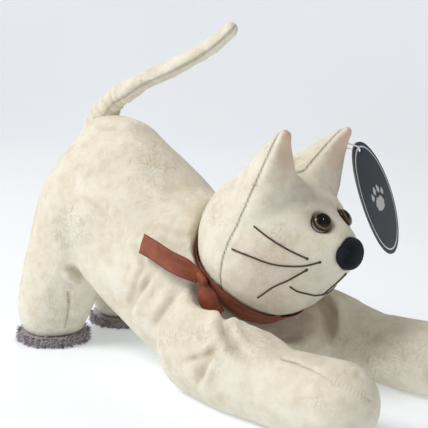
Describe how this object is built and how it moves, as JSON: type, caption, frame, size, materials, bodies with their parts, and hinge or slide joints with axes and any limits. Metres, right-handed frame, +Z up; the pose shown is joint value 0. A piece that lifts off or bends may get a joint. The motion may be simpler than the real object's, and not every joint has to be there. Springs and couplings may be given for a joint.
{
  "type": "plush cat",
  "caption": "Stuffed cloth cat in a stretching pose with raised wired tail, turning head, neck ribbon and swinging oval hang tag; stands on the floor as a door stop.",
  "frame": {"origin": "on the floor, at the middle of the toy's length and width", "axes": "the cat faces -Y, +X is its left side, +Z is up"},
  "size_m": [0.177, 0.3471, 0.2622],
  "materials": {
    "cream_cloth": "brushed suede-like cloth with a fine crinkle",
    "stuffing": "polyester fibre",
    "bead_bag": "woven bag of beads",
    "pad_fur": "short mottled fur cloth",
    "eye_plastic": "clear dome over an amber ring and black pupil",
    "nose_flock": "flocked",
    "washer_plastic": "moulded",
    "dark_thread": "twisted embroidery thread",
    "satin_ribbon": "satin with woven edges",
    "tail_wire": "drawn wire",
    "loop_plastic": "clear-white moulded",
    "tag_card": "coated card, dark slate with a white border line"
  },
  "bodies": {
    "torso": {"side_panel_right": "cream_cloth", "side_panel_left": "cream_cloth", "belly_panel": "cream_cloth", "body_filling": "stuffing", "weight_bag": "bead_bag", "front_leg_cover_right": "cream_cloth", "front_leg_cover_left": "cream_cloth", "front_leg_filling_right": "stuffing", "front_leg_filling_left": "stuffing", "hind_leg_cover_right": "cream_cloth", "hind_leg_cover_left": "cream_cloth", "hind_leg_filling_right": "stuffing", "hind_leg_filling_left": "stuffing", "hind_pad_right": "pad_fur", "hind_pad_left": "pad_fur", "neck_ribbon": "satin_ribbon", "ribbon_knot": "satin_ribbon", "ribbon_end_long": "satin_ribbon", "ribbon_end_short": "satin_ribbon"},
    "head": {"face_panel": "cream_cloth", "head_back_panel": "cream_cloth", "head_filling": "stuffing", "eye_right": "eye_plastic", "eye_left": "eye_plastic", "eye_washers": "washer_plastic", "nose": "nose_flock", "nose_washer": "washer_plastic", "whiskers_right": "dark_thread", "whiskers_left": "dark_thread", "mouth_stitch": "dark_thread"},
    "tail_low": {"tail_low_cover": "cream_cloth", "tail_low_filling": "stuffing", "tail_low_wire": "tail_wire"},
    "tail_top": {"tail_top_cover": "cream_cloth", "tail_top_filling": "stuffing", "tail_top_wire": "tail_wire"},
    "tag_loop": {"tag_loop": "loop_plastic"},
    "tag_card": {"hang_tag": "tag_card"}
  },
  "joints": [
    {"name": "head_turn", "type": "hinge", "parent": "torso", "child": "head", "pos_m": [0, -0.04883, 0.105], "axis": [0, -0.5736, 0.8192], "range_deg": [-12, 12]},
    {"name": "tail_lift", "type": "hinge", "parent": "torso", "child": "tail_low", "pos_m": [0, 0.12509, 0.19476], "axis": [-1, 0, 0], "range_deg": [-6, 60]},
    {"name": "tail_bend", "type": "hinge", "parent": "tail_low", "child": "tail_top", "pos_m": [0, 0.08249, 0.21462], "axis": [-1, 0, 0], "range_deg": [-30, 30]},
    {"name": "tag_flap", "type": "hinge", "parent": "head", "child": "tag_loop", "pos_m": [0.039, -0.08083, 0.175], "axis": [0, 1, 0], "range_deg": [-15, 18]},
    {"name": "tag_swing", "type": "hinge", "parent": "tag_loop", "child": "tag_card", "pos_m": [0.05097, -0.08485, 0.17064], "axis": [0, -0.9703, 0.2419], "range_deg": [-3, 40]}
  ]
}
